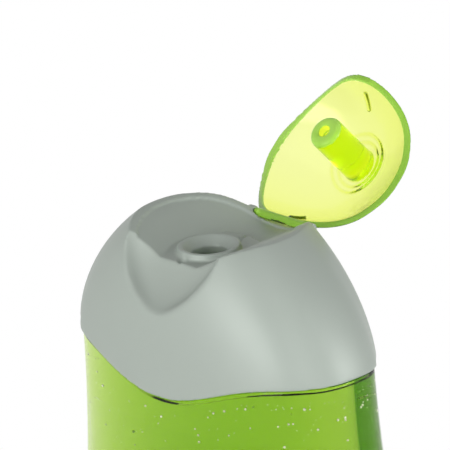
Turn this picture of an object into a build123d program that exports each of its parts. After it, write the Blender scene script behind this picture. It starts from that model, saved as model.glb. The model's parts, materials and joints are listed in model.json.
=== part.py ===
from build123d import *
from functools import cache
import math
import os

# Flat-oval body wash bottle with a domed press-fit cap and a flip lid, standing open.
# X runs along the wide side, -Y is the front, Z is up, and the origin is the middle
# of the plane that the base stands on. Levels named "_up" are measured from the seam,
# the level at which the cap meets the bottle at the two narrow ends.

# Overall form
CAP_WIDTH = 76.0
CAP_DEPTH = 39.4
SEAM_LEVEL = 136.0
DOME_HEIGHT = 34.0
OVAL_SQUARENESS = 2.15
SIDE_FULLNESS = 1.55
FRONT_FULLNESS = 2.57
OVAL_POINTS = 24
DOME_STEPS = 9

# Soft fold between the front panel and each rounded end
FOLD_TURN_DEG = 30.0
FOLD_SPREAD_DEG = 9.0
FOLD_DEPTH = 0.7

# Bottle
BODY_BULGE_WIDTH = 80.2
BODY_BULGE_DEPTH = 42.0
BODY_BULGE_LEVEL = 74.0
FOOT_WIDTH = 70.0
FOOT_DEPTH = 36.0
FOOT_RADIUS = 5.0
BODY_STEPS = 4
FOOT_STEPS = 3
BOTTLE_WALL = 1.0
CAP_OVERHANG = 0.5
RIM_WIDTH = 2.0
PUSH_UP = 2.5
NECK_RADIUS = 12.0
NECK_WALL = 1.3
NECK_TOP_UP = 15.5
SHOULDER_TOP_UP = 7.0
SHOULDER_TOP_WIDTH = 50.0
SHOULDER_TOP_DEPTH = 27.0
SHOULDER_STEPS = 4
BEAD_HEIGHT = 0.5
BEAD_UP = 12.0

# Gel
GEL_GAP = 0.1
GEL_TOP_UP = 10.0

# Label
LABEL_THICKNESS = 0.12
LABEL_GAP = 0.03
LABEL_HALF_WIDTH = 28.0
LABEL_TOP_UP = -12.2
LABEL_HEIGHT = 92.0
LABEL_CORNER = 6.0

# Cap
CAP_WALL = 1.6
CAP_GAP = 0.25
DECK_THICKNESS = 1.8
WAVE_DIP = 5.8
WAVE_HALF_WIDTH = 29.0
END_RISE = 0.9
CURVE_STEPS = 20
SKIRT_WALL = 1.3
SKIRT_CLEARANCE = 0.12
SKIRT_DEPTH = 7.5
GROOVE_CLEARANCE = 0.15

# Saddle-shaped seat that parts the lid from the cap
SEAT_MIDDLE_UP = 20.0
SEAT_SIDE_UP = 26.1
SEAT_HALF_WIDTH = 18.5
LEDGE_WIDTH = 1.5
LEDGE_DROP = 0.7

# Thumb scoop in the front of the dome
SCOOP_BOTTOM_UP = 11.9
SCOOP_TOP_UP = 30.4
SCOOP_HALF_WIDTH = 17.0
SCOOP_DEPTH = 10.5
SCOOP_ROUND = 6.5
SCOOP_SQUARENESS = 3.0
SCOOP_LEAN = 1.5
SCOOP_STEPS = 7

# Dispensing orifice
ORIFICE_Y = -3.1
ORIFICE_TOP_UP = 22.0
ORIFICE_RING_RADIUS = 6.4
ORIFICE_LAND_UP = 20.3
ORIFICE_TUBE_WALL = 1.2
ORIFICE_TUBE_DEPTH = 2.0
RING_ROUND = 0.5
MOUTH_TAPER = 46.0

# Lid and its sealing plug
LID_WALL = 1.4
LID_GAP = 0.25
PLUG_RADIUS = 3.55
PLUG_CLEARANCE = 0.07
PLUG_INSERTION = 3.3
PLUG_TIP_ROUND = 1.1
PLUG_HOLE_RADIUS = 1.3
PLUG_HOLE_DEPTH = 2.2
ROOF_RING_RADIUS = 5.6
ROOF_RING_WALL = 0.6
RIB_THICKNESS = 0.8
RIB_LENGTH = 3.6
RIB_UP = 23.0
RELIEF_HEIGHT = 0.9

# Hinge at the back of the dome
HINGE_Y = 16.7
HINGE_UP = 21.2
OPEN_ANGLE = 139.0
BARREL_RADIUS = 0.9
BARREL_HALF_LENGTH = 7.2
PIN_RADIUS = 0.5
PIN_CLEARANCE = 0.05
EAR_THICKNESS = 2.0
EAR_WALL = 0.55
EAR_SIDE_GAP = 0.25
HINGE_GAP = 0.3

# Reach of cutting blocks past the solids that they cut
REACH = 60.0


def swell(share, fullness):
    """Half-size of a rounded profile at a share of its height, as a share of its foot."""
    return max(0.0, 1.0 - share**fullness) ** (1.0 / fullness)


def mix(first, last, share):
    """Value at a share of the way from the first to the last."""
    return first + (last - first) * share


def round_points(half_width, half_depth, squareness):
    """Points round a flattened oval, the squarer the higher its squareness."""
    points = []
    for step in range(OVAL_POINTS):
        turn = 2 * math.pi * step / OVAL_POINTS
        across, along = math.cos(turn), math.sin(turn)
        x = half_width * math.copysign(abs(across) ** (2 / squareness), across)
        y = half_depth * math.copysign(abs(along) ** (2 / squareness), along)
        points.append((x, y))
    return points


def closed_face(points):
    """Flat face inside a smooth closed curve through the points."""
    return Face(Wire(Edge.make_spline(points, periodic=True)))


def oval(half_width, half_depth, level, fold):
    """Flat oval at one level, pinched by the soft folds beside its front and back panels."""
    points = []
    for x, y in round_points(half_width, half_depth, OVAL_SQUARENESS):
        across, along = abs(x / half_width), abs(y / half_depth)
        from_end = math.degrees(math.atan2(along ** (OVAL_SQUARENESS / 2), across ** (OVAL_SQUARENESS / 2)))
        pinch = fold * math.exp(-(((from_end - FOLD_TURN_DEG) / FOLD_SPREAD_DEG) ** 2))
        keep = 1 - pinch / math.hypot(x, y)
        points.append((x * keep, y * keep, level))
    return closed_face(points)


@cache
def dome(inset):
    """Closed dome of the cap and lid together, set in evenly by the given wall."""
    half_width, half_depth = CAP_WIDTH / 2 - inset, CAP_DEPTH / 2 - inset
    height = DOME_HEIGHT - inset
    foot = -WAVE_DIP - 2 * CAP_WALL
    sections = [oval(half_width, half_depth, SEAM_LEVEL + level, FOLD_DEPTH) for level in (foot, foot / 2, 0)]
    for step in range(1, DOME_STEPS):
        share = math.sin(math.pi / 2 * step / DOME_STEPS)
        wide, deep = swell(share, SIDE_FULLNESS), swell(share, FRONT_FULLNESS)
        fold = FOLD_DEPTH * (1 - share)
        sections.append(oval(half_width * wide, half_depth * deep, SEAM_LEVEL + height * share, fold))
    return loft(sections + [Vertex(0, 0, SEAM_LEVEL + height)])


@cache
def body(inset):
    """Bottle body from its foot to above the seam, set in evenly by the given wall."""
    foot_width, foot_depth = FOOT_WIDTH / 2 - inset, FOOT_DEPTH / 2 - inset
    bulge_width, bulge_depth = BODY_BULGE_WIDTH / 2 - inset, BODY_BULGE_DEPTH / 2 - inset
    top_width, top_depth = CAP_WIDTH / 2 - CAP_OVERHANG - inset, CAP_DEPTH / 2 - CAP_OVERHANG - inset
    sections = []
    for step in range(BODY_STEPS):
        share = step / BODY_STEPS
        near = math.sin(share * math.pi / 2)
        level = FOOT_RADIUS + share * (BODY_BULGE_LEVEL - FOOT_RADIUS)
        wide, deep = mix(foot_width, bulge_width, near), mix(foot_depth, bulge_depth, near)
        sections.append(oval(wide, deep, level, 0))
    for step in range(BODY_STEPS + 1):
        share = step / BODY_STEPS
        near = (1 - math.cos(share * math.pi)) / 2
        level = mix(BODY_BULGE_LEVEL, SEAM_LEVEL, share)
        wide, deep = mix(bulge_width, top_width, near), mix(bulge_depth, top_depth, near)
        sections.append(oval(wide, deep, level, FOLD_DEPTH * near))
    sections.append(oval(top_width, top_depth, SEAM_LEVEL + END_RISE + 2 * CAP_WALL, FOLD_DEPTH))
    foot = []
    for step in range(FOOT_STEPS + 1):
        turn = step / FOOT_STEPS * math.pi / 2
        pull = FOOT_RADIUS * (1 - math.sin(turn))
        level = FOOT_RADIUS - (FOOT_RADIUS - inset) * math.cos(turn)
        foot.append(oval(foot_width - pull, foot_depth - pull, level, 0))
    return loft(foot) + loft(sections)


def edge_level(x):
    """Level of the cap's wavy lower edge, the same on the front and the back."""
    inside = min(abs(x) / WAVE_HALF_WIDTH, 1.0)
    dip = WAVE_DIP * (1 + math.cos(math.pi * inside)) / 2
    outside = max(abs(x) - WAVE_HALF_WIDTH, 0) / (CAP_WIDTH / 2 - WAVE_HALF_WIDTH)
    return SEAM_LEVEL - dip + END_RISE * outside**2


def seat_level(x):
    """Level of the saddle-shaped seat, which runs straight from front to back."""
    inside = min(abs(x) / SEAT_HALF_WIDTH, 1.0)
    middle, side = SEAT_MIDDLE_UP, SEAT_SIDE_UP
    return SEAM_LEVEL + (middle + side) / 2 - (side - middle) / 2 * math.cos(math.pi * inside)


def block_over(level_at, half_width, lift):
    """Block that fills everything above a curve in the XZ plane, lifted by a small gap."""
    xs = [mix(-half_width, half_width, step / CURVE_STEPS) for step in range(CURVE_STEPS + 1)]
    points = [(x, 0, level_at(x) + lift) for x in xs]
    top = SEAM_LEVEL + REACH
    curve = Edge.make_spline(points)
    walls = Polyline(points[-1], (half_width, 0, top), (-half_width, 0, top), points[0])
    face = Face(Wire([curve] + walls.edges()))
    return extrude(face, amount=REACH, dir=(0, 1, 0), both=True)


@cache
def above_seat(lift):
    """Everything above the saddle-shaped seat."""
    return block_over(seat_level, CAP_WIDTH / 2 + CAP_WALL, lift)


@cache
def above_edge(lift):
    """Everything above the wavy edge between the cap and the bottle."""
    return block_over(edge_level, BODY_BULGE_WIDTH / 2 + CAP_WALL, lift)


@cache
def scoop(margin):
    """Thumb scoop: a rounded hollow that widens upwards and leans back into the dome."""
    front = -CAP_DEPTH / 2
    sections = [Vertex(0, front - SCOOP_ROUND, SEAM_LEVEL + SCOOP_BOTTOM_UP - margin)]
    for step in range(1, SCOOP_STEPS + 1):
        widening = step / SCOOP_STEPS
        middle = front - SCOOP_ROUND + SCOOP_DEPTH * math.sin(widening**SCOOP_LEAN * math.pi / 2)
        level = SEAM_LEVEL + mix(SCOOP_BOTTOM_UP, SCOOP_TOP_UP, widening**2)
        rim = round_points(SCOOP_HALF_WIDTH * widening + margin, SCOOP_ROUND + margin, SCOOP_SQUARENESS)
        sections.append(closed_face([(x, middle + y, level) for x, y in rim]))
    return loft(sections)


def tube(x, y, low, high, outer, inner):
    """Upright tube between two levels."""
    ring = Pos(x, y, low) * extrude(Circle(outer), amount=high - low)
    return ring - Pos(x, y, low) * extrude(Circle(inner), amount=high - low)


def rod(y, level, start, end, radius):
    """Rod along X between two places."""
    return extrude(Plane((start, y, level), z_dir=(1, 0, 0)) * Circle(radius), amount=end - start)


hinge_level = SEAM_LEVEL + HINGE_UP
ear_start = BARREL_HALF_LENGTH + EAR_SIDE_GAP
ear_end = ear_start + EAR_THICKNESS
ear_radius = PIN_RADIUS + PIN_CLEARANCE + EAR_WALL
orifice_top = SEAM_LEVEL + ORIFICE_TOP_UP
land_radius = PLUG_RADIUS + PLUG_CLEARANCE
neck_top = SEAM_LEVEL + NECK_TOP_UP
skirt_radius = NECK_RADIUS + SKIRT_CLEARANCE


@cache
def make_shoulder(inset):
    """Bottle shoulder under the cap, rounded towards the foot of the neck."""
    step_in = CAP_WALL + CAP_GAP + inset
    foot_width, foot_depth = CAP_WIDTH / 2 - step_in, CAP_DEPTH / 2 - step_in
    top_width, top_depth = SHOULDER_TOP_WIDTH / 2 - inset, SHOULDER_TOP_DEPTH / 2 - inset
    sections = [oval(foot_width, foot_depth, SEAM_LEVEL - WAVE_DIP - 2 * CAP_WALL, FOLD_DEPTH)]
    for step in range(SHOULDER_STEPS + 1):
        turn = step / SHOULDER_STEPS * math.pi / 2
        near = 1 - math.cos(turn)
        wide, deep = mix(foot_width, top_width, near), mix(foot_depth, top_depth, near)
        level = SEAM_LEVEL + (SHOULDER_TOP_UP - inset) * math.sin(turn)
        sections.append(oval(wide, deep, level, FOLD_DEPTH * (1 - near)))
    return loft(sections)


def make_bottle():
    """Blow-moulded bottle with a stepped shoulder, a round neck and a push-up base."""
    outer = body(0) - above_edge(-CAP_GAP)
    outer += make_shoulder(0)
    outer += Pos(0, 0, SEAM_LEVEL) * extrude(Circle(NECK_RADIUS), amount=NECK_TOP_UP)
    bead = Plane.XZ * Pos(NECK_RADIUS, SEAM_LEVEL + BEAD_UP) * Circle(BEAD_HEIGHT)
    outer += revolve(bead, Axis.Z)
    neck_bore = Pos(0, 0, SEAM_LEVEL) * extrude(Circle(NECK_RADIUS - NECK_WALL), amount=NECK_TOP_UP)
    return outer - push_up(0) - make_cavity(BOTTLE_WALL) - neck_bore


def push_up(margin):
    """Hollow pushed up into the base, so that the bottle stands on a rim."""
    edge = FOOT_RADIUS + RIM_WIDTH - margin
    half_width, half_depth = FOOT_WIDTH / 2 - edge, FOOT_DEPTH / 2 - edge
    low = oval(half_width + PUSH_UP, half_depth + PUSH_UP, -PUSH_UP, 0)
    high = oval(half_width - PUSH_UP, half_depth - PUSH_UP, PUSH_UP + margin, 0)
    return loft([low, high])


def make_cavity(inset):
    """Space inside the bottle, set in from its outside by the given wall."""
    inner = body(inset) - above_edge(-CAP_GAP - inset)
    inner += make_shoulder(inset)
    return inner - push_up(inset)


def make_gel():
    """Gel that fills the bottle up to the foot of its neck."""
    top = SEAM_LEVEL + GEL_TOP_UP
    neck = Pos(0, 0, SEAM_LEVEL) * extrude(Circle(NECK_RADIUS - NECK_WALL - GEL_GAP), amount=GEL_TOP_UP)
    gel = make_cavity(BOTTLE_WALL + GEL_GAP) + neck
    return gel - Pos(0, 0, top + REACH / 2) * Box(2 * REACH, 2 * REACH, REACH)


def make_label():
    """Clear film label on the front panel."""
    low = SEAM_LEVEL + LABEL_TOP_UP - LABEL_HEIGHT
    outline = RectangleRounded(2 * LABEL_HALF_WIDTH, LABEL_HEIGHT, LABEL_CORNER)
    window = extrude(Plane.XZ * Pos(0, low + LABEL_HEIGHT / 2) * outline, amount=REACH)
    film = body(-LABEL_GAP - LABEL_THICKNESS) - body(-LABEL_GAP)
    return film & window


def make_cap():
    """Cap moulding: dome, wavy edge, seat, thumb scoop, orifice, hinge ears and neck skirt."""
    hollow = dome(CAP_WALL) - above_seat(-DECK_THICKNESS - LEDGE_DROP) - scoop(CAP_WALL)
    shell = dome(0) & above_edge(0)
    shell -= hollow
    shell -= above_seat(0)
    shell -= dome(LEDGE_WIDTH) & above_seat(-LEDGE_DROP)
    shell -= scoop(0)
    skirt_low = neck_top - SKIRT_DEPTH
    skirt_high = SEAM_LEVEL + SEAT_MIDDLE_UP - LEDGE_DROP
    skirt = tube(0, 0, skirt_low, skirt_high, skirt_radius + SKIRT_WALL, skirt_radius)
    groove = Plane.XZ * Pos(skirt_radius, SEAM_LEVEL + BEAD_UP) * Circle(BEAD_HEIGHT + GROOVE_CLEARANCE)
    skirt -= revolve(groove, Axis.Z)
    bore = Pos(0, ORIFICE_Y, SEAM_LEVEL) * extrude(Circle(land_radius), amount=DOME_HEIGHT)
    barrel_room = rod(HINGE_Y, hinge_level, -ear_start, ear_start, BARREL_RADIUS + HINGE_GAP)
    pin_holes = rod(HINGE_Y, hinge_level, -ear_end, ear_end, PIN_RADIUS + PIN_CLEARANCE)
    shell += skirt - scoop(0)
    return shell - bore - barrel_room + make_orifice() + make_ears() - pin_holes


def make_orifice():
    """Raised ring round the dispensing orifice and the tube below it."""
    low = SEAM_LEVEL + SEAT_MIDDLE_UP - LEDGE_DROP - DECK_THICKNESS - ORIFICE_TUBE_DEPTH
    ring = tube(0, ORIFICE_Y, low + ORIFICE_TUBE_DEPTH, orifice_top, ORIFICE_RING_RADIUS, land_radius)
    ring = fillet(ring.edges().group_by(Axis.Z)[-1].sort_by(SortBy.LENGTH)[-1], RING_ROUND)
    funnel = Pos(0, ORIFICE_Y, SEAM_LEVEL + ORIFICE_LAND_UP) * extrude(
        Circle(land_radius), amount=ORIFICE_TOP_UP - ORIFICE_LAND_UP, taper=-MOUTH_TAPER
    )
    collar = tube(0, ORIFICE_Y, low, low + ORIFICE_TUBE_DEPTH, land_radius + ORIFICE_TUBE_WALL, land_radius)
    return ring + collar - funnel


def make_ears():
    """Two ears on the cap that hold the lid's hinge pins."""
    ears = Part()
    foot_depth = 3 * ear_radius
    foot_low = SEAM_LEVEL + SEAT_MIDDLE_UP - LEDGE_DROP - DECK_THICKNESS / 2
    for side in (-1, 1):
        start, end = sorted((side * ear_start, side * ear_end))
        foot = Pos((start + end) / 2, HINGE_Y + ear_radius - foot_depth / 2, mix(foot_low, hinge_level, 0.5))
        foot *= Box(EAR_THICKNESS, foot_depth, hinge_level - foot_low)
        ears += rod(HINGE_Y, hinge_level, start, end, ear_radius) + foot
    return ears


def make_lid():
    """Closed flip lid: dome shell with plug, roof ring, ribs, barrel and pins."""
    roof = SEAM_LEVEL + DOME_HEIGHT
    ring = tube(0, ORIFICE_Y, SEAM_LEVEL + RIB_UP, roof, ROOF_RING_RADIUS, ROOF_RING_RADIUS - ROOF_RING_WALL)
    ribs = Pos(0, 0, SEAM_LEVEL + RIB_UP + RIB_LENGTH / 2) * Box(RIB_THICKNESS, CAP_DEPTH, RIB_LENGTH)
    inside = (ring + ribs - dome(LID_WALL + RELIEF_HEIGHT) + make_plug(roof)) & dome(LID_WALL / 2)
    shell = (dome(0) & above_seat(LID_GAP)) - dome(LID_WALL)
    notch_radius, notch_end = ear_radius + HINGE_GAP, ear_end + EAR_SIDE_GAP
    shell -= rod(HINGE_Y, hinge_level, BARREL_HALF_LENGTH, notch_end, notch_radius)
    shell -= rod(HINGE_Y, hinge_level, -notch_end, -BARREL_HALF_LENGTH, notch_radius)
    barrel = rod(HINGE_Y, hinge_level, -BARREL_HALF_LENGTH, BARREL_HALF_LENGTH, BARREL_RADIUS)
    return shell + inside + barrel + rod(HINGE_Y, hinge_level, -ear_end, ear_end, PIN_RADIUS)


def make_plug(top):
    """Hollow-tipped plug that closes the orifice."""
    tip = Pos(0, ORIFICE_Y, orifice_top - PLUG_INSERTION)
    plug = tip * extrude(Circle(PLUG_RADIUS), amount=top - orifice_top + PLUG_INSERTION)
    plug = fillet(plug.edges().group_by(Axis.Z)[0], PLUG_TIP_ROUND)
    return plug - tip * extrude(Circle(PLUG_HOLE_RADIUS), amount=PLUG_HOLE_DEPTH)


hinge_axis = Axis((0, HINGE_Y, hinge_level), (1, 0, 0))
parts = {
    "bottle": make_bottle(),
    "gel": make_gel(),
    "front_label": make_label(),
    "cap": make_cap(),
    "lid": make_lid().rotate(hinge_axis, -OPEN_ANGLE),
}
os.makedirs("parts", exist_ok=True)
for name, part in parts.items():
    export_step(part, f"parts/{name}.step")
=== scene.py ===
"""Body wash bottle with a domed cap and an open flip lid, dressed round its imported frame."""

import json
import logging
import math
from dataclasses import dataclass
from enum import Enum
from typing import Callable

import bpy
import numpy as np
from mathutils import Matrix, Vector


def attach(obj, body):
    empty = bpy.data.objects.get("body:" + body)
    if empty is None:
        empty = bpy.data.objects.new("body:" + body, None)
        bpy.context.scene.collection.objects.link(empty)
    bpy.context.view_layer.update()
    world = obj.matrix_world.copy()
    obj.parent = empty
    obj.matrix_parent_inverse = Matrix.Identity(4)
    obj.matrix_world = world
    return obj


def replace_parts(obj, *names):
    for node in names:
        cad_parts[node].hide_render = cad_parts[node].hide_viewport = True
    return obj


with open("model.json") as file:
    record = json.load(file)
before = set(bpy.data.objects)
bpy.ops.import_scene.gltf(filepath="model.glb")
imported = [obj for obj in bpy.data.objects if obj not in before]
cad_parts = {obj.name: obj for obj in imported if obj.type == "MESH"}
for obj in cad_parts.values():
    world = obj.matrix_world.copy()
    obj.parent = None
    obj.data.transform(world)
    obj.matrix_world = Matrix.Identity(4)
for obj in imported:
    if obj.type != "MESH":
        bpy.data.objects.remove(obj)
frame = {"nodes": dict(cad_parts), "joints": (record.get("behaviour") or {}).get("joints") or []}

log = logging.getLogger("body_wash_bottle")

MM = 0.001
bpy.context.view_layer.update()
HINGE = Vector(frame["joints"][0]["pos_m"])
HINGE_UP = 21.2 * MM
SEAM = HINGE.z - HINGE_UP
OPEN_ANGLE = math.radians(139.0)
STILL_BODY = "bottle_and_cap"
LID_BODY = "flip_lid"
FAR = 60 * MM
MERGE_DISTANCE = 1e-6
SMOOTHING = 0.5
SHARP_ANGLE = math.radians(35.0)
WHITE = (1, 1, 1, 1)

Places = np.ndarray
Stations = tuple[np.ndarray, np.ndarray, np.ndarray, np.ndarray]
Bend = Callable[[Places, np.ndarray, np.ndarray], Places]
Colour = tuple[float, float, float]


class Cut(Enum):
    """How one closed mesh acts on another."""

    AWAY = "DIFFERENCE"
    JOIN = "UNION"
    COMMON = "INTERSECT"


def select_only(piece: bpy.types.Object) -> None:
    """Selects one piece alone and makes it the active one.

    Args:
        piece: The piece to select.
    """
    if bpy.context.object and bpy.context.object.mode != "OBJECT":
        bpy.ops.object.mode_set(mode="OBJECT")
    bpy.ops.object.select_all(action="DESELECT")
    bpy.context.view_layer.objects.active = piece
    piece.select_set(True)


def new_piece(name: str, add: Callable[..., set[str]], **sizes: object) -> bpy.types.Object:
    """Adds a primitive and names it.

    Args:
        name: Name of the new piece.
        add: The operator that adds the primitive.
        **sizes: The operator's own settings.

    Returns:
        The new piece, with its place in its mesh.
    """
    bpy.ops.object.select_all(action="DESELECT")
    add(**sizes)
    piece = bpy.context.object
    piece.name = name
    piece.data.name = name
    select_only(piece)
    bpy.ops.object.transform_apply(location=True, rotation=True, scale=True)
    return piece


def vertex_places(piece: bpy.types.Object) -> Places:
    """Reads the places of a piece's vertices.

    Args:
        piece: The piece to read.

    Returns:
        One row for each vertex, with its places along X, Y and Z.
    """
    flat = np.zeros(len(piece.data.vertices) * 3)
    piece.data.vertices.foreach_get("co", flat)
    return flat.reshape(-1, 3)


def move_vertices(piece: bpy.types.Object, places: Places) -> None:
    """Moves a piece's vertices to new places, one row each."""
    piece.data.vertices.foreach_set("co", places.astype(np.float32).ravel())
    piece.data.update()


def apply_modifier(piece: bpy.types.Object, kind: str, **settings: object) -> None:
    """Adds a modifier to a piece, sets it and applies it.

    Args:
        piece: The piece to change.
        kind: The modifier's type.
        **settings: The modifier's own settings.
    """
    select_only(piece)
    modifier = piece.modifiers.new(kind.title(), kind)
    for name, value in settings.items():
        setattr(modifier, name, value)
    bpy.ops.object.modifier_apply(modifier=modifier.name)


def combine(piece: bpy.types.Object, tool: bpy.types.Object, how: Cut) -> None:
    """Cuts, joins or keeps what is common of two closed meshes, and removes the tool.

    Args:
        piece: The mesh that stays.
        tool: The mesh that acts on it.
        how: What the tool does.
    """
    apply_modifier(piece, "BOOLEAN", operation=how.value, object=tool, solver="EXACT")
    mesh = tool.data
    bpy.data.objects.remove(tool)
    bpy.data.meshes.remove(mesh)


def edit_where(piece: bpy.types.Object, chosen: np.ndarray) -> None:
    """Opens a piece in edit mode with only the chosen vertices selected.

    Args:
        piece: The piece to edit.
        chosen: True for each vertex to select.
    """
    select_only(piece)
    bpy.context.tool_settings.mesh_select_mode = (True, False, False)
    mesh = piece.data
    mesh.polygons.foreach_set("select", np.zeros(len(mesh.polygons), bool))
    mesh.edges.foreach_set("select", np.zeros(len(mesh.edges), bool))
    mesh.vertices.foreach_set("select", chosen)
    bpy.ops.object.mode_set(mode="EDIT")


def face_outwards(piece: bpy.types.Object) -> None:
    """Merges doubles and turns all faces outwards.

    Args:
        piece: The piece to mend.
    """
    select_only(piece)
    bpy.ops.object.mode_set(mode="EDIT")
    bpy.ops.mesh.select_all(action="SELECT")
    bpy.ops.mesh.remove_doubles(threshold=MERGE_DISTANCE)
    bpy.ops.mesh.normals_make_consistent(inside=False)
    bpy.ops.object.mode_set(mode="OBJECT")


def shade_smooth(piece: bpy.types.Object) -> None:
    """Shades all of a piece's faces smoothly."""
    select_only(piece)
    bpy.ops.object.shade_smooth()


def shade_between_edges(piece: bpy.types.Object) -> None:
    """Shades a piece smoothly up to its sharp edges."""
    select_only(piece)
    bpy.ops.object.shade_smooth_by_angle(angle=SHARP_ANGLE)


@dataclass(frozen=True)
class OvalForm:
    """Flat oval sections, with the soft folds beside the front and back panels."""

    squareness: float = 2.15
    fold_turn: float = 30.0
    fold_spread: float = 9.0

    def outline(
        self, turn: np.ndarray, wide: np.ndarray, deep: np.ndarray, fold: np.ndarray
    ) -> tuple[np.ndarray, np.ndarray]:
        """Places on the oval.

        Args:
            turn: Turn round the oval from its +X end, in radians.
            wide: Half-width of the oval.
            deep: Half-depth of the oval.
            fold: Depth of the folds.

        Returns:
            The places along X and along Y.
        """
        across, along = np.cos(turn), np.sin(turn)
        x = wide * np.sign(across) * np.abs(across) ** (2 / self.squareness)
        y = deep * np.sign(along) * np.abs(along) ** (2 / self.squareness)
        from_end = np.degrees(np.arctan2(np.abs(along), np.abs(across)))
        pinch = fold * np.exp(-(((from_end - self.fold_turn) / self.fold_spread) ** 2))
        keep = 1 - pinch / np.maximum(np.hypot(x, y), pinch + MM)
        return x * keep, y * keep

    def ringed(
        self, name: str, stations: Stations, segments: int, bend: Bend | None = None
    ) -> bpy.types.Object:
        """Closed piece whose rings follow a list of ovals from its bottom pole to its top pole.

        Args:
            name: Name of the piece.
            stations: Half-widths, half-depths, levels and fold depths of the rings.
            segments: Vertices in a ring.
            bend: Moves the vertices, from their places, the number of each one's ring and its turn.

        Returns:
            The piece.
        """
        wide, deep, level, fold = stations
        rings = len(wide) - 1
        add = bpy.ops.mesh.primitive_uv_sphere_add
        piece = new_piece(name, add, segments=segments, ring_count=rings, radius=1.0)
        places = vertex_places(piece)
        share = np.arcsin(np.clip(places[:, 2], -1, 1)) / math.pi + 0.5
        ring = np.rint(share * rings).astype(int)
        turn = np.arctan2(places[:, 1], places[:, 0])
        x, y = self.outline(turn, wide[ring], deep[ring], fold[ring])
        move_vertices(piece, np.column_stack([x, y, level[ring]]))
        if bend:
            move_vertices(piece, bend(vertex_places(piece), ring, turn))
        return piece


@dataclass(frozen=True)
class Dome:
    """Form that the cap and the closed lid share, and the two curves that part it."""

    half_width: float = 38.0 * MM
    half_depth: float = 19.7 * MM
    height: float = 34.0 * MM
    side_fullness: float = 1.55
    front_fullness: float = 2.57
    fold_depth: float = 0.7 * MM
    wave_dip: float = 5.8 * MM
    wave_half_width: float = 29.0 * MM
    end_rise: float = 0.9 * MM
    seat_middle: float = 20.0 * MM
    seat_side: float = 26.1 * MM
    seat_half_width: float = 18.5 * MM
    foot_drop: float = 9.2 * MM
    floor_rings: int = 8
    wall_rings: int = 12
    block_margin: float = 4.0 * MM
    block_steps: int = 160
    form: OvalForm = OvalForm()

    def edge_level(self, x: np.ndarray) -> np.ndarray:
        """Level of the cap's wavy lower edge.

        Args:
            x: Places along X.

        Returns:
            The level at each place.
        """
        inside = np.minimum(np.abs(x) / self.wave_half_width, 1)
        dip = self.wave_dip * (1 + np.cos(math.pi * inside)) / 2
        outside = np.maximum(np.abs(x) - self.wave_half_width, 0)
        outside = outside / (self.half_width - self.wave_half_width)
        return SEAM - dip + self.end_rise * outside**2

    def seat_level(self, x: np.ndarray) -> np.ndarray:
        """Level of the saddle-shaped seat that parts the lid from the cap.

        Args:
            x: Places along X.

        Returns:
            The level at each place.
        """
        inside = np.minimum(np.abs(x) / self.seat_half_width, 1)
        middle, side = self.seat_middle, self.seat_side
        return SEAM + (middle + side) / 2 - (side - middle) / 2 * np.cos(math.pi * inside)

    def solid(
        self, name: str, inset: float, segments: int = 240, steps: int = 72
    ) -> bpy.types.Object:
        """Closed dome, set in evenly.

        Args:
            name: Name of the piece.
            inset: How far the surface lies inside the outer one.
            segments: Vertices in a ring.
            steps: Rings from the seam to the top.

        Returns:
            The dome.
        """
        half_width, half_depth = self.half_width - inset, self.half_depth - inset
        height = self.height - inset
        floor = np.linspace(0, 1, self.floor_rings, endpoint=False)
        wall = np.linspace(-self.foot_drop, 0, self.wall_rings, endpoint=False)
        share = np.sin(np.linspace(0, math.pi / 2, steps + 1))
        side = np.maximum(0, 1 - share**self.side_fullness) ** (1 / self.side_fullness)
        front = np.maximum(0, 1 - share**self.front_fullness) ** (1 / self.front_fullness)
        flat = np.ones(self.wall_rings)
        wide = np.concatenate([half_width * floor, half_width * flat, half_width * side])
        deep = np.concatenate([half_depth * floor, half_depth * flat, half_depth * front])
        low = np.full(self.floor_rings, -self.foot_drop)
        level = SEAM + np.concatenate([low, wall, height * share])
        fold = self.fold_depth * np.concatenate([floor, flat, 1 - share])
        return self.form.ringed(name, (wide, deep, level, fold), segments)

    def above(
        self, name: str, level_at: Callable[[np.ndarray], np.ndarray], lift: float
    ) -> bpy.types.Object:
        """Closed block of all that lies above one of the two curves.

        Args:
            name: Name of the piece.
            level_at: The curve, as a level for each place along X.
            lift: How far the block starts above the curve.

        Returns:
            The block.
        """
        block = new_piece(
            name,
            bpy.ops.mesh.primitive_grid_add,
            x_subdivisions=self.block_steps,
            y_subdivisions=2,
            size=2 * (self.half_width + self.block_margin),
        )
        places = vertex_places(block)
        places[:, 2] = level_at(places[:, 0]) + lift
        move_vertices(block, places)
        select_only(block)
        bpy.ops.object.mode_set(mode="EDIT")
        bpy.ops.mesh.select_all(action="SELECT")
        bpy.ops.mesh.extrude_region_move(TRANSFORM_OT_translate={"value": (0, 0, FAR)})
        bpy.ops.object.mode_set(mode="OBJECT")
        face_outwards(block)
        return block


DOME = Dome()


def beyond_oval(
    x: np.ndarray,
    y: np.ndarray,
    wide: np.ndarray,
    deep: np.ndarray | float,
    squareness: float,
) -> np.ndarray:
    """How far places lie outside an oval, less than 0 inside it.

    Args:
        x: Distances from the oval's middle along X.
        y: Distances from its middle along Y.
        wide: Half-width of the oval at each place.
        deep: Half-depth of the oval.
        squareness: Power of the oval's formula.

    Returns:
        The distance at each place.
    """
    ratio = ((x / wide) ** squareness + (y / deep) ** squareness) ** (1 / squareness)
    return (ratio - 1) * deep


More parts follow.
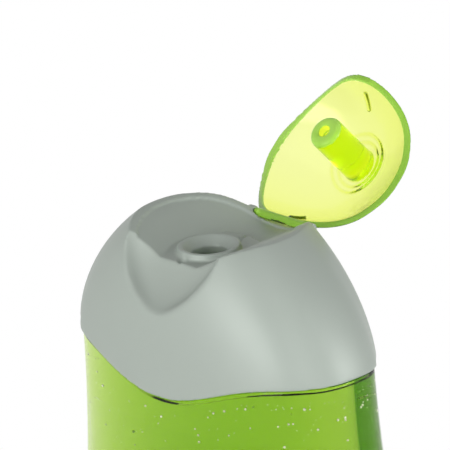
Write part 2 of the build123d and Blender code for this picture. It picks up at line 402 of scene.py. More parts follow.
@dataclass
class Cap:
    """Grey press-fit cap: dome, scoop, seat with its ledge, orifice, hinge ears and neck skirt."""

    wall: float = 1.6 * MM
    deck: float = 1.8 * MM
    ledge_width: float = 1.5 * MM
    ledge_drop: float = 0.5 * MM
    scoop_low: float = 11.9 * MM
    scoop_high: float = 30.4 * MM
    scoop_half_width: float = 17.0 * MM
    scoop_depth: float = 10.5 * MM
    scoop_round: float = 6.5 * MM
    scoop_squareness: float = 3.0
    scoop_lean: float = 0.75
    scoop_opening: float = 6.0
    margin_opening: float = 8.0
    scoop_steps: int = 80
    scoop_segments: int = 160
    orifice_y: float = -3.1 * MM
    floor_radius: float = 10.5 * MM
    floor_top: float = 20.6 * MM
    orifice_top: float = 22.0 * MM
    ring_radius: float = 6.4 * MM
    collar_wall: float = 1.2 * MM
    collar_drop: float = 2.0 * MM
    land_radius: float = 3.62 * MM
    land_level: float = 20.3 * MM
    mouth_radius: float = 5.5 * MM
    ear_start: float = 7.45 * MM
    ear_end: float = 9.45 * MM
    ear_radius: float = 1.1 * MM
    barrel_room: float = 1.2 * MM
    skirt_radius: float = 12.12 * MM
    skirt_wall: float = 1.3 * MM
    skirt_low: float = 8.0 * MM
    front_mark_y: float = -10.5 * MM
    back_mark_y: float = 4.7 * MM
    mark_radius: float = 1.2 * MM
    mark_depth: float = 0.6 * MM
    line_width: float = 0.8 * MM
    line_depth: float = 0.6 * MM
    soft_width: float = 1.6 * MM
    soft_rounds: int = 60
    soft_least: float = 0.02
    voxel: float = 0.3 * MM
    smooth_rounds: int = 3
    faces_kept: float = 0.42

    def rod(
        self, name: str, y: float, z: float, start: float, end: float, radius: float
    ) -> bpy.types.Object:
        """Rod along X.

        Args:
            name: Name of the piece.
            y: Place of its axis along Y.
            z: Level of its axis.
            start: Its first end.
            end: Its other end.
            radius: Its radius.

        Returns:
            The rod.
        """
        return new_piece(
            name,
            bpy.ops.mesh.primitive_cylinder_add,
            vertices=64,
            radius=radius,
            depth=end - start,
            location=((start + end) / 2, y, z),
            rotation=(0, math.pi / 2, 0),
        )

    def post(
        self,
        name: str,
        y: float,
        low: float,
        high: float,
        low_radius: float,
        high_radius: float | None = None,
    ) -> bpy.types.Object:
        """Upright round post, straight or tapered.

        Args:
            name: Name of the piece.
            y: Place of its axis along Y.
            low: Level of its foot.
            high: Level of its top.
            low_radius: Radius of its foot.
            high_radius: Radius of its top, where it isn't straight.

        Returns:
            The post.
        """
        return new_piece(
            name,
            bpy.ops.mesh.primitive_cone_add,
            vertices=128,
            radius1=low_radius,
            radius2=low_radius if high_radius is None else high_radius,
            depth=high - low,
            location=(0, y, (low + high) / 2),
        )

    def scoop(self, margin: float) -> bpy.types.Object:
        """Thumb scoop as a closed tool that widens upwards and leans back into the dome.

        Args:
            margin: How much larger than the scoop it is.

        Returns:
            The tool.
        """
        widening = np.concatenate([np.linspace(0, 1, self.scoop_steps), [1.0]])
        share = widening**2
        wide = self.scoop_half_width * widening
        wide += margin * np.minimum(1, widening * self.margin_opening)
        deep = np.full(len(share), self.scoop_round + margin)
        deep *= np.sqrt(np.minimum(1, widening * self.scoop_opening))
        wide[-1] = deep[-1] = 0
        level = SEAM + self.scoop_low + share * (self.scoop_high - self.scoop_low)
        level[0] -= margin
        form = OvalForm(squareness=self.scoop_squareness)
        stations = (wide, deep, level, np.zeros(len(share)))
        tool = form.ringed("scoop_tool", stations, self.scoop_segments)
        places = vertex_places(tool)
        places[:, 1] += self.scoop_axis(self.scoop_share(places[:, 2] - SEAM, 0))
        move_vertices(tool, places)
        return tool

    def scoop_share(self, up: np.ndarray, least: float) -> np.ndarray:
        """Share of the scoop's height, from its low end to its high one.

        Args:
            up: Levels above the seam.
            least: Smallest share to give.

        Returns:
            The share at each level.
        """
        return np.clip((up - self.scoop_low) / (self.scoop_high - self.scoop_low), least, 1)

    def scoop_axis(self, share: np.ndarray) -> np.ndarray:
        """Place of the scoop's middle along Y.

        Args:
            share: Shares of the scoop's height.

        Returns:
            The place at each share.
        """
        lean = self.scoop_depth * np.sin(share**self.scoop_lean * math.pi / 2)
        return lean - DOME.half_depth - self.scoop_round

    def hollow(self) -> bpy.types.Object:
        """Inside of the cap below its deck.

        Returns:
            The tool that hollows the cap.
        """
        inside = DOME.solid("cap_hollow", self.wall)
        low = DOME.above("deck_tool", DOME.seat_level, -self.deck - self.ledge_drop)
        combine(inside, low, Cut.AWAY)
        combine(inside, self.scoop(self.wall), Cut.AWAY)
        return inside

    def dish(self) -> bpy.types.Object:
        """Sunk part of the seat, inside its ledge.

        Returns:
            The tool that sinks the seat.
        """
        sunk = DOME.solid("seat_dish", self.ledge_width)
        combine(sunk, DOME.above("dish_tool", DOME.seat_level, -self.ledge_drop), Cut.COMMON)
        return sunk

    @property
    def deck_middle(self) -> float:
        """Level halfway through the deck under the dish."""
        return SEAM + DOME.seat_middle - self.ledge_drop - self.deck / 2

    def build(self) -> bpy.types.Object:
        """Builds the cap.

        Returns:
            The cap's piece.
        """
        cap = DOME.solid("cap_moulding", 0)
        combine(cap, DOME.above("edge_tool", DOME.edge_level, 0), Cut.COMMON)
        combine(cap, DOME.above("seat_tool", DOME.seat_level, 0), Cut.AWAY)
        combine(cap, self.hollow(), Cut.AWAY)
        combine(cap, self.dish(), Cut.AWAY)
        low, top = self.deck_middle, SEAM + self.floor_top
        floor = self.post("deck_floor", self.orifice_y, low, top, self.floor_radius)
        combine(cap, floor, Cut.JOIN)
        combine(cap, self.scoop(0), Cut.AWAY)
        self.add_orifice(cap)
        self.add_hinge(cap)
        self.add_skirt(cap)
        self.mark_deck(cap)
        apply_modifier(cap, "REMESH", mode="VOXEL", voxel_size=self.voxel)
        apply_modifier(cap, "SMOOTH", factor=SMOOTHING, iterations=self.smooth_rounds)
        self.soften_scoop(cap)
        apply_modifier(cap, "DECIMATE", ratio=self.faces_kept)
        shade_smooth(cap)
        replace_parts(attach(cap, STILL_BODY), "cap")
        return cap

    def add_orifice(self, cap: bpy.types.Object) -> None:
        """Adds the raised ring and cuts the orifice through the deck.

        Args:
            cap: The cap's piece.
        """
        y = self.orifice_y
        deck_low = SEAM + DOME.seat_middle - self.ledge_drop - self.deck
        top = SEAM + self.orifice_top
        combine(cap, self.post("orifice_ring", y, deck_low, top, self.ring_radius), Cut.JOIN)
        collar_radius = self.land_radius + self.collar_wall
        collar = self.post("collar", y, deck_low - self.collar_drop, top, collar_radius)
        combine(cap, collar, Cut.JOIN)
        bore = self.post("bore", y, SEAM, SEAM + DOME.height, self.land_radius)
        combine(cap, bore, Cut.AWAY)
        funnel_low = SEAM + self.land_level
        over = top - funnel_low
        slope = (self.mouth_radius - self.land_radius) / over
        mouth = self.mouth_radius + slope * over
        funnel = self.post("funnel", y, funnel_low, top + over, self.land_radius, mouth)
        combine(cap, funnel, Cut.AWAY)

    def add_hinge(self, cap: bpy.types.Object) -> None:
        """Adds the two hinge ears and clears the room for the lid's barrel.

        Args:
            cap: The cap's piece.
        """
        start, end = -self.ear_start, self.ear_start
        room = self.rod("barrel_room", HINGE.y, HINGE.z, start, end, self.barrel_room)
        combine(cap, room, Cut.AWAY)
        for side in (-1, 1):
            start, end = sorted((side * self.ear_start, side * self.ear_end))
            ear = self.rod("hinge_ear", HINGE.y, HINGE.z, start, end, self.ear_radius)
            combine(cap, ear, Cut.JOIN)
            foot = new_piece(
                "ear_foot",
                bpy.ops.mesh.primitive_cube_add,
                size=1,
                location=(
                    (start + end) / 2,
                    HINGE.y - self.ear_radius / 2,
                    (self.deck_middle + HINGE.z) / 2,
                ),
                scale=(end - start, 3 * self.ear_radius, HINGE.z - self.deck_middle),
            )
            combine(cap, foot, Cut.JOIN)

    def add_skirt(self, cap: bpy.types.Object) -> None:
        """Adds the skirt that grips the bottle's neck.

        Args:
            cap: The cap's piece.
        """
        low, high = SEAM + self.skirt_low, self.deck_middle
        skirt = self.post("skirt", 0, low, high, self.skirt_radius + self.skirt_wall)
        bore = self.post("skirt_bore", 0, low - MM, high + MM, self.skirt_radius)
        combine(skirt, bore, Cut.AWAY)
        combine(skirt, self.scoop(0), Cut.AWAY)
        combine(cap, skirt, Cut.JOIN)

    def mark_deck(self, cap: bpy.types.Object) -> None:
        """Cuts the two small moulding marks and the fine line behind the ring into the deck.

        Args:
            cap: The cap's piece.
        """
        deck = SEAM + self.floor_top
        for y in (self.front_mark_y, self.back_mark_y):
            mark = new_piece(
                "moulding_mark",
                bpy.ops.mesh.primitive_uv_sphere_add,
                segments=32,
                ring_count=16,
                radius=self.mark_radius,
                location=(0, y, deck + self.mark_radius - self.mark_depth),
            )
            combine(cap, mark, Cut.AWAY)
        length = HINGE.y - self.back_mark_y - 2 * self.barrel_room
        line = new_piece(
            "deck_line",
            bpy.ops.mesh.primitive_cube_add,
            size=1,
            location=(0, (self.back_mark_y + HINGE.y) / 2, deck),
            scale=(self.line_width, length, 2 * self.line_depth),
        )
        combine(cap, line, Cut.AWAY)

    def soften_scoop(self, cap: bpy.types.Object) -> None:
        """Rounds the edge at which the scoop leaves the dome.

        Args:
            cap: The cap's piece.
        """
        places = vertex_places(cap)
        x, y, up = np.abs(places[:, 0]), places[:, 1], places[:, 2] - SEAM
        share = self.scoop_share(up, 1e-4)
        off_axis = np.abs(y - self.scoop_axis(share))
        wide = self.scoop_half_width * np.sqrt(share)
        from_scoop = beyond_oval(x, off_axis, wide, self.scoop_round, self.scoop_squareness)
        height = np.clip(up / DOME.height, 0, 0.99)
        dome_wide = DOME.half_width * (1 - height**DOME.side_fullness) ** (1 / DOME.side_fullness)
        dome_deep = DOME.half_depth * (1 - height**DOME.front_fullness) ** (1 / DOME.front_fullness)
        from_dome = beyond_oval(x, np.abs(y), dome_wide, dome_deep, DOME.form.squareness)
        near = np.exp(-((from_scoop / self.soft_width) ** 2) - (from_dome / self.soft_width) ** 2)
        below_seat = (DOME.seat_level(x) - places[:, 2]) / self.soft_width - 1
        near *= np.clip(below_seat, 0, 1) * (y < 0)
        group = cap.vertex_groups.new(name="scoop_edge")
        for index in np.flatnonzero(near > self.soft_least):
            group.add([int(index)], float(near[index]), "REPLACE")
        apply_modifier(
            cap,
            "SMOOTH",
            factor=SMOOTHING,
            iterations=self.soft_rounds,
            vertex_group=group.name,
        )


@dataclass
class Lid:
    """Lime flip lid: dome shell, sealing plug, raised circle, ribs, barrel and pins."""

    gap: float = 0.25 * MM
    wall: float = 1.15 * MM
    plug_radius: float = 3.55 * MM
    plug_tip: float = 18.7 * MM
    plug_hole_radius: float = 1.3 * MM
    plug_hole_depth: float = 2.2 * MM
    plug_tip_round: float = 1.1 * MM
    plug_y: float = -3.1 * MM
    circle_radii: tuple[float, float] = (5.0 * MM, 6.4 * MM)
    circle_wall: float = 0.4 * MM
    relief: float = 0.5 * MM
    rib_thickness: float = 0.8 * MM
    rib_length: float = 3.6 * MM
    rib_up: float = 23.0 * MM
    barrel_radius: float = 0.9 * MM
    barrel_half: float = 7.2 * MM
    pin_radius: float = 0.5 * MM
    notch_radius: float = 1.4 * MM
    notch_end: float = 9.7 * MM
    # Rim faces this close to the seat and facing down get the painted edge glow.
    rim_height: float = 0.35 * MM
    rim_facing: float = -0.2
    voxel: float = 0.2 * MM
    smooth_rounds: int = 6
    faces_kept: float = 0.6

    def build(self, cap: Cap) -> bpy.types.Object:
        """Builds the lid closed, then opens it.

        Args:
            cap: The cap that the lid belongs to, for its hinge's sizes and its tools.

        Returns:
            The lid's piece.
        """
        lid = DOME.solid("flip_lid_moulding", 0)
        combine(lid, DOME.above("lid_seat_tool", DOME.seat_level, self.gap), Cut.COMMON)
        combine(lid, DOME.solid("lid_hollow", self.wall), Cut.AWAY)
        self.cut_hinge(lid, cap)
        combine(lid, self.inside(cap), Cut.JOIN)
        for name, half, radius in (
            ("barrel", self.barrel_half, self.barrel_radius),
            ("pins", cap.ear_end, self.pin_radius),
        ):
            combine(lid, cap.rod(name, HINGE.y, HINGE.z, -half, half, radius), Cut.JOIN)
        apply_modifier(lid, "REMESH", mode="VOXEL", voxel_size=self.voxel)
        apply_modifier(lid, "SMOOTH", factor=SMOOTHING, iterations=self.smooth_rounds)
        apply_modifier(lid, "DECIMATE", ratio=self.faces_kept)
        self.mark_rim_painted_glow(lid)
        to_hinge, back = Matrix.Translation(-HINGE), Matrix.Translation(HINGE)
        lid.data.transform(back @ Matrix.Rotation(-OPEN_ANGLE, 4, "X") @ to_hinge)
        shade_smooth(lid)
        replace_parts(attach(lid, LID_BODY), "lid")
        return lid

    def cut_hinge(self, lid: bpy.types.Object, cap: Cap) -> None:
        """Cuts the room for the cap's ears out of the lid's wall.

        Args:
            lid: The lid's piece.
            cap: The cap that the lid belongs to.
        """
        for side in (1, -1):
            start, end = sorted((side * self.barrel_half, side * self.notch_end))
            notch = cap.rod("notch", HINGE.y, HINGE.z, start, end, self.notch_radius)
            combine(lid, notch, Cut.AWAY)

    def inside(self, cap: Cap) -> bpy.types.Object:
        """What stands on the inside of the lid's roof.

        Args:
            cap: The cap that the lid belongs to, for its tools.

        Returns:
            The raised circles, the ribs and the plug in one piece.
        """
        roof = SEAM + DOME.height
        low = SEAM + self.rib_up
        reliefs = None
        for radius in self.circle_radii:
            circle = cap.post("roof_circle", self.plug_y, low, roof, radius)
            inner = radius - self.circle_wall
            bore = cap.post("circle_bore", self.plug_y, low - MM, roof + MM, inner)
            combine(circle, bore, Cut.AWAY)
            if reliefs:
                combine(reliefs, circle, Cut.JOIN)
            else:
                reliefs = circle
        ribs = new_piece(
            "rib",
            bpy.ops.mesh.primitive_cube_add,
            size=1,
            location=(0, 0, low + self.rib_length / 2),
            scale=(self.rib_thickness, 2 * DOME.half_depth, self.rib_length),
        )
        combine(reliefs, ribs, Cut.JOIN)
        combine(reliefs, DOME.solid("relief_tool", self.wall + self.relief), Cut.AWAY)
        combine(reliefs, self.plug(cap, roof), Cut.JOIN)
        combine(reliefs, DOME.solid("roof_tool", self.wall / 2), Cut.COMMON)
        return reliefs

    def plug(self, cap: Cap, top: float) -> bpy.types.Object:
        """Sealing plug with its rounded, hollow tip.

        Args:
            cap: The cap that the lid belongs to, for its tools.
            top: Level of the plug's foot on the roof.

        Returns:
            The plug.
        """
        tip = SEAM + self.plug_tip
        plug = cap.post("plug", self.plug_y, tip, top, self.plug_radius)
        edit_where(plug, vertex_places(plug)[:, 2] < tip + MM)
        bpy.ops.mesh.bevel(offset=self.plug_tip_round, segments=6, affect="EDGES")
        bpy.ops.object.mode_set(mode="OBJECT")
        hole_top = tip + self.plug_hole_depth
        hole = cap.post("plug_hole", self.plug_y, tip - MM, hole_top, self.plug_hole_radius)
        combine(plug, hole, Cut.AWAY)
        return plug

    def mark_rim_painted_glow(self, lid: bpy.types.Object) -> None:
        """Gives the faces of the lid's rim their own material slot, a more saturated, less clear
        green that is a painted edge glow standing in for light guided along the lid's wall, while
        the lid is still closed.

        Args:
            lid: The lid's piece.
        """
        count = len(lid.data.polygons)
        centre, normal = np.zeros(count * 3), np.zeros(count * 3)
        lid.data.polygons.foreach_get("center", centre)
        lid.data.polygons.foreach_get("normal", normal)
        centre, normal = centre.reshape(-1, 3), normal.reshape(-1, 3)
        over = centre[:, 2] - DOME.seat_level(centre[:, 0]) - self.gap
        # These rim faces get the second slot: a painted edge glow, a saturated green standing in
        # for light guided along the lid's wall.
        rim = (over < self.rim_height) & (normal[:, 2] < self.rim_facing)
        lid.data.polygons.foreach_set("material_index", rim.astype(np.int32))


@dataclass
class Bottle:
    """Clear blown bottle with its foot, bulge, stepped shoulder and neck."""

    bulge_width: float = 40.1 * MM
    bulge_depth: float = 21.0 * MM
    bulge_level: float = 74.0 * MM
    foot_width: float = 35.0 * MM
    foot_depth: float = 18.0 * MM
    foot_radius: float = 5.0 * MM
    rim_width: float = 2.0 * MM
    push_up: float = 2.5 * MM
    wall: float = 1.0 * MM
    overhang: float = 0.5 * MM
    cap_gap: float = 0.25 * MM
    cap_step: float = 1.85 * MM
    shoulder_top: float = 7.0 * MM
    shoulder_width: float = 25.0 * MM
    shoulder_depth: float = 13.5 * MM
    neck_radius: float = 12.0 * MM
    neck_wall: float = 1.3 * MM
    neck_top: float = 15.5 * MM
    gel_top: float = 10.0 * MM
    gel_overlap: float = 0.05 * MM
    segments: int = 224
    base_rings: int = 12
    rim_rings: int = 6
    foot_rings: int = 14
    body_rings: int = 90
    shoulder_rings: int = 20
    neck_rings: int = 12
    wave_rings: int = 40

    @property
    def inner_radius(self) -> float:
        """Radius of the neck's bore."""
        return self.neck_radius - self.neck_wall

    def half_sizes(self, level: np.ndarray, inset: float) -> tuple[np.ndarray, np.ndarray]:
        """Half-width and half-depth of the body at a level.

        Args:
            level: Levels above the floor.
            inset: How far the surface lies inside the outer one.

        Returns:
            The half-widths and the half-depths.
        """
        top_width = DOME.half_width - self.overhang
        top_depth = DOME.half_depth - self.overhang
        low = np.clip((level - self.foot_radius) / (self.bulge_level - self.foot_radius), 0, 1)
        rise = np.sin(low * math.pi / 2)
        wide = self.foot_width + (self.bulge_width - self.foot_width) * rise
        deep = self.foot_depth + (self.bulge_depth - self.foot_depth) * rise
        high = np.clip((level - self.bulge_level) / (SEAM - self.bulge_level), 0, 1)
        fall = (1 - np.cos(high * math.pi)) / 2
        wide = wide + (top_width - self.bulge_width) * fall
        deep = deep + (top_depth - self.bulge_depth) * fall
        return wide - inset, deep - inset

    def fold_depths(self, level: np.ndarray) -> np.ndarray:
        """Depth of the soft folds at a level."""
        high = np.clip((level - self.bulge_level) / (SEAM - self.bulge_level), 0, 1)
        return DOME.fold_depth * (1 - np.cos(high * math.pi)) / 2

    def stations(self, inset: float, top: float, top_radius: float) -> Stations:
        """Rings from the middle of the base to the neck.

        Args:
            inset: How far the surface lies inside the outer one.
            top: Level at which the rings end.
            top_radius: Radius of the neck's surface.

        Returns:
            The half-widths, half-depths, levels and fold depths.
        """
        edge = self.foot_radius + self.rim_width - inset
        push_width, push_depth = self.foot_width - edge, self.foot_depth - edge
        share = np.linspace(0, 1, self.base_rings)
        slope = np.linspace(1, 0, self.rim_rings)
        turn = np.linspace(0, math.pi / 2, self.foot_rings)
        pull = self.foot_radius * (1 - np.sin(turn)) + inset
        body_level = np.linspace(self.foot_radius, SEAM, self.body_rings)[1:]
        body_wide, body_deep = self.half_sizes(body_level, inset)
        step_width = DOME.half_width - self.cap_step - inset
        step_depth = DOME.half_depth - self.cap_step - inset
        arc = np.linspace(0, math.pi / 2, self.shoulder_rings)
        near = 1 - np.cos(arc)
        shoulder_width = step_width + (self.shoulder_width - inset - step_width) * near
        shoulder_depth = step_depth + (self.shoulder_depth - inset - step_depth) * near
        neck = np.linspace(SEAM + self.shoulder_top - inset, top, self.neck_rings)
        neck_radii = np.full(len(neck), top_radius)
        stretches = (
            (
                (push_width - self.push_up) * share,
                (push_depth - self.push_up) * share,
                np.full(len(share), self.push_up + inset),
                np.zeros(len(share)),
            ),
            (
                push_width - self.push_up * slope,
                push_depth - self.push_up * slope,
                inset + self.push_up * slope,
                np.zeros(len(slope)),
            ),
            (
                self.foot_width - pull,
                self.foot_depth - pull,
                self.foot_radius - (self.foot_radius - inset) * np.cos(turn),
                np.zeros(len(turn)),
            ),
            (body_wide, body_deep, body_level, self.fold_depths(body_level)),
            ([step_width], [step_depth], [SEAM], [DOME.fold_depth]),
            (
                shoulder_width,
                shoulder_depth,
                SEAM + (self.shoulder_top - inset) * np.sin(arc),
                DOME.fold_depth * (1 - near),
            ),
            (neck_radii, neck_radii, neck, np.zeros(len(neck))),
            ([top_radius / 2, 0], [top_radius / 2, 0], [top, top], [0, 0]),
        )
        wide, deep, level, fold = (np.concatenate(parts) for parts in zip(*stretches))
        return wide, deep, level, fold

    def skin(self, name: str, inset: float, top: float, top_radius: float) -> bpy.types.Object:
        """Closed skin of the bottle or of what is inside it, with its step under the wavy edge.

        Args:
            name: Name of the piece.
            inset: How far the skin lies inside the outer one.
            top: Level at which it ends.
            top_radius: Radius of the neck's surface.

        Returns:
            The skin.
        """
        step = self.base_rings + self.rim_rings + self.foot_rings + self.body_rings - 1
        start = step - self.wave_rings

        def follow_wave(places: Places, ring: np.ndarray, turn: np.ndarray) -> Places:
            """Bends the upper rings of the body to the cap's wavy edge.

            Args:
                places: Places of the vertices.
                ring: Number of each vertex's ring.
                turn: Turn of each vertex round the oval.

            Returns:
                The new places.
            """
            share = np.clip((ring - start) / (step - 1 - start), 0, 1)
            share = np.where(ring <= step, share, 0)
            wave = DOME.edge_level(places[:, 0]) - SEAM - self.cap_gap - inset
            places[:, 2] += wave * share * share * (3 - 2 * share)
            wall = (ring > start) & (ring < step)
            wide, deep = self.half_sizes(places[wall, 2], inset)
            x, y = DOME.form.outline(turn[wall], wide, deep, self.fold_depths(places[wall, 2]))
            places[wall, 0], places[wall, 1] = x, y
            return places

        stations = self.stations(inset, top, top_radius)
        return DOME.form.ringed(name, stations, self.segments, follow_wave)

    def build(self) -> bpy.types.Object:
        """Builds the bottle as an outer skin with its inside cut out.

        Returns:
            The bottle's piece.
        """
        bottle = self.skin("clear_bottle", 0, SEAM + self.neck_top, self.neck_radius)
        inner = self.skin("bottle_inside", self.wall, SEAM + self.neck_top + MM, self.inner_radius)
        combine(bottle, inner, Cut.AWAY)
        shade_between_edges(bottle)
        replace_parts(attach(bottle, STILL_BODY), "bottle")
        return bottle

    def build_gel(self) -> bpy.types.Object:
        """Builds the gel, which wets the bottle's inner wall.

        Returns:
            The gel's piece.
        """
        inset = self.wall - self.gel_overlap
        gel = self.skin("shower_gel", inset, SEAM + self.gel_top, self.inner_radius)
        shade_between_edges(gel)
        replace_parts(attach(gel, STILL_BODY), "gel")
        return gel


@dataclass
class Bubbles:
    """Small air bubbles that cling to the inside of the bottle below the cap's edge."""

    count: int = 190
    smallest: float = 0.07 * MM
    largest: float = 0.34 * MM
    mean_drop: float = 5.5 * MM
    deepest_drop: float = 40.0 * MM
    wall_gap: float = 0.1 * MM
    edge_gap: float = 2.0 * MM
    edge_radii: float = 3.0
    smallness: float = 3.0
    seed: int = 11

    def place(
        self, bottle: Bottle, radius: float, drop: float, turn: float
    ) -> tuple[float, float, float]:
        """Finds a bubble's place on the inside of the wall.

        Args:
            bottle: The bottle that the bubble clings to.
            radius: The bubble's radius.
            drop: How far it lies below the highest level for a bubble.
            turn: Its turn round the oval, in radians.

        Returns:
            The place of its middle.
        """
        inset = bottle.wall + radius + self.wall_gap
        x, y, level = 0.0, 0.0, SEAM
        for _ in range(2):
            wide, deep = bottle.half_sizes(np.array([level]), inset)
            fold = bottle.fold_depths(np.array([level]))
            places = DOME.form.outline(np.array([turn]), wide, deep, fold)
            x, y = float(places[0][0]), float(places[1][0])
            edge = float(DOME.edge_level(np.array([x]))[0]) - bottle.cap_gap
            level = edge - self.edge_radii * radius - self.edge_gap - drop
        return x, y, level

    def build(self, bottle: Bottle) -> bpy.types.Object:
        """Builds the bubbles as one piece.

        Args:
            bottle: The bottle that they cling to.

        Returns:
            The bubbles' piece.
        """
        chance = np.random.default_rng(self.seed)
        bubbles = []
        for _ in range(self.count):
            share = chance.random() ** self.smallness
            radius = self.smallest + (self.largest - self.smallest) * share
            drop = min(chance.exponential(self.mean_drop), self.deepest_drop)
            turn = chance.uniform(0, 2 * math.pi)
            bubble = new_piece(
                "bubble",
                bpy.ops.mesh.primitive_ico_sphere_add,
                subdivisions=2,
                radius=radius,
                location=self.place(bottle, radius, drop, turn),
            )
            bubbles.append(bubble)
        select_only(bubbles[0])
        for bubble in bubbles:
            bubble.select_set(True)
        bpy.ops.object.join()
        piece = bpy.context.object
        piece.name = piece.data.name = "air_bubbles"
        shade_smooth(piece)
        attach(piece, STILL_BODY)
        return piece


class Finish:
    """Base of the finishes: a node material made once."""

    name: str = "finish"

    def material(self) -> bpy.types.Material:
        """Makes the material.

        Returns:
            The material.
        """
        made = bpy.data.materials.new(self.name)
        made.use_nodes = True
        return made

    @staticmethod
    def shader(material: bpy.types.Material) -> bpy.types.ShaderNode:
        """The material's main shader."""
        return material.node_tree.nodes["Principled BSDF"]


@dataclass(frozen=True)
class SatinPearl(Finish):
    """Satin grey moulded plastic with a faint pearl and a fine moulded grain."""

    name: str = "satin_pearl_grey"
    colour: Colour = (0.41, 0.46, 0.415)
    shade: Colour = (0.38, 0.43, 0.385)
    metallic: float = 0.1
    roughness: float = 0.5
    coat: float = 0.05
    coat_roughness: float = 0.25
    cloud_scale: float = 60.0
    cloud_detail: float = 3.0
    grain_scale: float = 2600.0
    grain_strength: float = 0.04
    grain_height: float = 0.2 * MM

    def material(self) -> bpy.types.Material:
        """Makes the material.

        Returns:
            The material.
        """
        made = Finish.material(self)
        tree = made.node_tree
        shader = self.shader(made)
        shader.inputs["Metallic"].default_value = self.metallic
        shader.inputs["Roughness"].default_value = self.roughness
        shader.inputs["Coat Weight"].default_value = self.coat
        shader.inputs["Coat Roughness"].default_value = self.coat_roughness
        place = tree.nodes.new("ShaderNodeTexCoord")
        cloud = tree.nodes.new("ShaderNodeTexNoise")
        cloud.inputs["Scale"].default_value = self.cloud_scale
        cloud.inputs["Detail"].default_value = self.cloud_detail
        mix = tree.nodes.new("ShaderNodeMix")
        mix.data_type = "RGBA"
        mix.inputs["A"].default_value = (*self.shade, 1)
        mix.inputs["B"].default_value = (*self.colour, 1)
        grain = tree.nodes.new("ShaderNodeTexNoise")
        grain.inputs["Scale"].default_value = self.grain_scale
        bump = tree.nodes.new("ShaderNodeBump")
        bump.inputs["Strength"].default_value = self.grain_strength
        bump.inputs["Distance"].default_value = self.grain_height
        link = tree.links.new
        link(place.outputs["Object"], cloud.inputs["Vector"])
        link(place.outputs["Object"], grain.inputs["Vector"])
        link(cloud.outputs["Fac"], mix.inputs["Factor"])
        link(mix.outputs["Result"], shader.inputs["Base Color"])
        link(grain.outputs["Fac"], bump.inputs["Height"])
        link(bump.outputs["Normal"], shader.inputs["Normal"])
        return made


@dataclass(frozen=True)
class ClearPlastic(Finish):
    """Clear or tinted see-through plastic, or gel, that colours light along its way."""

    name: str
    tint: Colour = (1.0, 1.0, 1.0)
    refraction: float = 1.45
    roughness: float = 0.02
    absorbs: Colour | None = None
    density: float = 0.0
    clarity: float = 1.0
    cloud_scale: float = 45.0
    cloud_shade: float = 0.97
    roughness_spread: float = 0.4

    def material(self) -> bpy.types.Material:
        """Makes the material.

        Returns:
            The material.
        """
        made = Finish.material(self)
        tree = made.node_tree
        shader = self.shader(made)
        shader.inputs["Transmission Weight"].default_value = self.clarity
        shader.inputs["IOR"].default_value = self.refraction
        place = tree.nodes.new("ShaderNodeTexCoord")
        cloud = tree.nodes.new("ShaderNodeTexNoise")
        cloud.inputs["Scale"].default_value = self.cloud_scale
        rough = tree.nodes.new("ShaderNodeMapRange")
        rough.inputs["To Min"].default_value = self.roughness * (1 - self.roughness_spread)
        rough.inputs["To Max"].default_value = self.roughness * (1 + self.roughness_spread)
        mix = tree.nodes.new("ShaderNodeMix")
        mix.data_type = "RGBA"
        mix.inputs["A"].default_value = (*[part * self.cloud_shade for part in self.tint], 1)
        mix.inputs["B"].default_value = (*self.tint, 1)
        link = tree.links.new
        link(place.outputs["Object"], cloud.inputs["Vector"])
        link(cloud.outputs["Fac"], rough.inputs["Value"])
        link(rough.outputs["Result"], shader.inputs["Roughness"])
        link(cloud.outputs["Fac"], mix.inputs["Factor"])
        link(mix.outputs["Result"], shader.inputs["Base Color"])
        if self.absorbs:
            volume = tree.nodes.new("ShaderNodeVolumeAbsorption")
            volume.inputs["Color"].default_value = (*self.absorbs, 1)
            volume.inputs["Density"].default_value = self.density
            link(volume.outputs["Volume"], tree.nodes["Material Output"].inputs["Volume"])
        return made


LIME_PLASTIC = ClearPlastic(
    "lime_plastic",
    tint=(0.985, 0.995, 0.84),
    refraction=1.3,
    roughness=0.15,
    absorbs=(0.93, 0.985, 0.0),
    density=720.0,
)
# Painted edge glow: a saturated, mostly opaque green on the lid's rim faces, standing in for light
# guided along the lid's wall.
LIME_RIM_PAINTED_GLOW = ClearPlastic(
    "lime_rim_painted_glow", tint=(0.42, 0.82, 0.08), refraction=1.3, roughness=0.3, clarity=0.2
)
CLEAR_PLASTIC = ClearPlastic("clear_plastic", tint=(0.985, 1.0, 0.94), refraction=1.2)
CLEAR_FILM = ClearPlastic("clear_film", tint=(0.985, 1.0, 0.94), refraction=1.07)
GREEN_GEL = ClearPlastic(
    "green_gel",
    tint=(0.985, 1.0, 0.88),
    refraction=1.12,
    absorbs=(0.64, 0.81, 0.0),
    density=80.0,
)
AIR = ClearPlastic("air", tint=(0.98, 1.0, 0.9), refraction=1.1, roughness=0.1, clarity=0.15)
FINISHES = {
    "cap_moulding": [SatinPearl()],
    "flip_lid_moulding": [LIME_PLASTIC, LIME_RIM_PAINTED_GLOW],
    "clear_bottle": [CLEAR_PLASTIC],
    "front_label": [CLEAR_FILM],
    "shower_gel": [GREEN_GEL],
    "air_bubbles": [AIR],
}


@dataclass(frozen=True)
class Lamp:
    """Soft square lamp that faces the cap."""

    name: str
    place: tuple[float, float, float]
    power: float
    size: float = 0.7

    def build(self) -> None:
        """Adds the lamp to the scene."""
        data = bpy.data.lights.new(self.name, "AREA")
        data.size = self.size
        data.energy = self.power
        lamp = bpy.data.objects.new(self.name, data)
        bpy.context.scene.collection.objects.link(lamp)
        lamp.location = self.place
        aim = Vector((0, 0, SEAM)) - Vector(self.place)
        lamp.rotation_euler = aim.to_track_quat("-Z", "Y").to_euler()


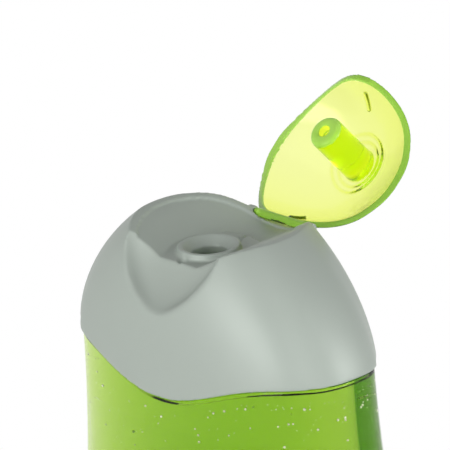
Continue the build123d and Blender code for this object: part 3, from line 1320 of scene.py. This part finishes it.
@dataclass
class Studio:
    """Pale floor, soft lights and the camera at the photograph's view."""

    turn: float = math.radians(48.3)
    rise: float = math.radians(20.5)
    roll: float = math.radians(4.35)
    look_right: float = 1.18 * MM
    look_up: float = 24.97 * MM
    frame_width: float = 90 * MM
    distance: float = 4.0
    sensor: float = 36.0
    near_clip: float = 0.1
    far_clip: float = 50.0
    ambient: float = 0.12
    floor_size: float = 6.0
    floor_tone: float = 0.9
    floor_roughness: float = 0.7
    lamps: tuple[Lamp, ...] = (
        Lamp("front", (0.15, -1.1, 0.3), 8.5),
        Lamp("side", (1.12, 0.4, 0.3), 9.0),
        Lamp("top", (0.0, -0.7, 1.0), 1.5),
    )

    def camera(self) -> None:
        """Sets up the camera."""
        right = Vector((math.cos(self.turn), math.sin(self.turn), 0))
        back = Vector(
            (
                math.sin(self.turn) * math.cos(self.rise),
                -math.cos(self.turn) * math.cos(self.rise),
                math.sin(self.rise),
            )
        )
        up = back.cross(right)
        image_x = math.cos(self.roll) * right - math.sin(self.roll) * up
        image_y = math.sin(self.roll) * right + math.cos(self.roll) * up
        look = Vector((0, 0, SEAM + self.look_up)) + right * self.look_right
        data = bpy.data.cameras.new("camera")
        data.sensor_width = self.sensor
        data.lens = self.sensor * self.distance / self.frame_width
        data.clip_start, data.clip_end = self.near_clip, self.far_clip
        eye = bpy.data.objects.new("camera", data)
        bpy.context.scene.collection.objects.link(eye)
        turned = Matrix((image_x, image_y, back)).transposed().to_4x4()
        eye.matrix_world = Matrix.Translation(look + back * self.distance) @ turned
        bpy.context.scene.camera = eye

    @staticmethod
    def white_for_the_eye(
        tree: bpy.types.NodeTree, shader: bpy.types.NodeSocket, white: str
    ) -> None:
        """Shows white to camera, mirror and see-through rays and the given shader to the rest.

        Args:
            tree: The floor's or the world's nodes.
            shader: What the other rays meet.
            white: Type of the node that gives the white.
        """
        path = tree.nodes.new("ShaderNodeLightPath")
        plain = tree.nodes.new(white)
        plain.inputs["Color"].default_value = WHITE
        mix = tree.nodes.new("ShaderNodeMixShader")
        output = next(node for node in tree.nodes if node.bl_idname.startswith("ShaderNodeOutput"))
        link = tree.links.new
        seen = path.outputs["Is Camera Ray"]
        for ray in ("Is Transmission Ray", "Is Glossy Ray"):
            either = tree.nodes.new("ShaderNodeMath")
            either.operation = "MAXIMUM"
            link(seen, either.inputs[0])
            link(path.outputs[ray], either.inputs[1])
            seen = either.outputs[0]
        link(seen, mix.inputs["Fac"])
        link(shader, mix.inputs[1])
        link(plain.outputs[0], mix.inputs[2])
        link(mix.outputs[0], output.inputs["Surface"])

    def world(self) -> None:
        """Soft light from all round, and a white background."""
        world = bpy.data.worlds.new("studio")
        bpy.context.scene.world = world
        world.use_nodes = True
        tree = world.node_tree
        ambient = tree.nodes["Background"]
        ambient.inputs["Color"].default_value = WHITE
        ambient.inputs["Strength"].default_value = self.ambient
        self.white_for_the_eye(tree, ambient.outputs[0], "ShaderNodeBackground")

    def floor(self) -> None:
        """Plain pale floor under the bottle."""
        floor = new_piece("floor", bpy.ops.mesh.primitive_plane_add, size=self.floor_size)
        made = bpy.data.materials.new("pale_floor")
        made.use_nodes = True
        shader = made.node_tree.nodes["Principled BSDF"]
        shader.inputs["Base Color"].default_value = (*[self.floor_tone] * 3, 1)
        shader.inputs["Roughness"].default_value = self.floor_roughness
        self.white_for_the_eye(made.node_tree, shader.outputs["BSDF"], "ShaderNodeEmission")
        floor.data.materials.append(made)

    def build(self) -> None:
        """Builds the studio."""
        scene = bpy.context.scene
        scene.view_settings.view_transform = "Standard"
        self.camera()
        self.world()
        self.floor()
        for lamp in self.lamps:
            lamp.build()


def paint(pieces: dict[str, bpy.types.Object]) -> None:
    """Gives every piece its finishes, in the slots that it has and new ones where it needs more.

    Args:
        pieces: The pieces by name, the label's own node among them.
    """
    for name, finishes in FINISHES.items():
        slots = pieces[name].data.materials
        for place, finish in enumerate(finishes):
            if place < len(slots):
                slots[place] = finish.material()
            else:
                slots.append(finish.material())


def main() -> None:
    """Builds every piece in order and reports each one."""
    logging.basicConfig(level=logging.INFO, format="%(name)s: %(message)s")
    cap = Cap()
    bottle = Bottle()
    made = [
        cap.build(),
        Lid().build(cap),
        bottle.build(),
        bottle.build_gel(),
        Bubbles().build(bottle),
    ]
    for piece in made:
        log.info("%s: %d faces", piece.name, len(piece.data.polygons))
    label = frame["nodes"]["front_label"]
    paint({piece.name: piece for piece in made} | {"front_label": label})
    Studio().build()


if __name__ == "__main__":
    main()
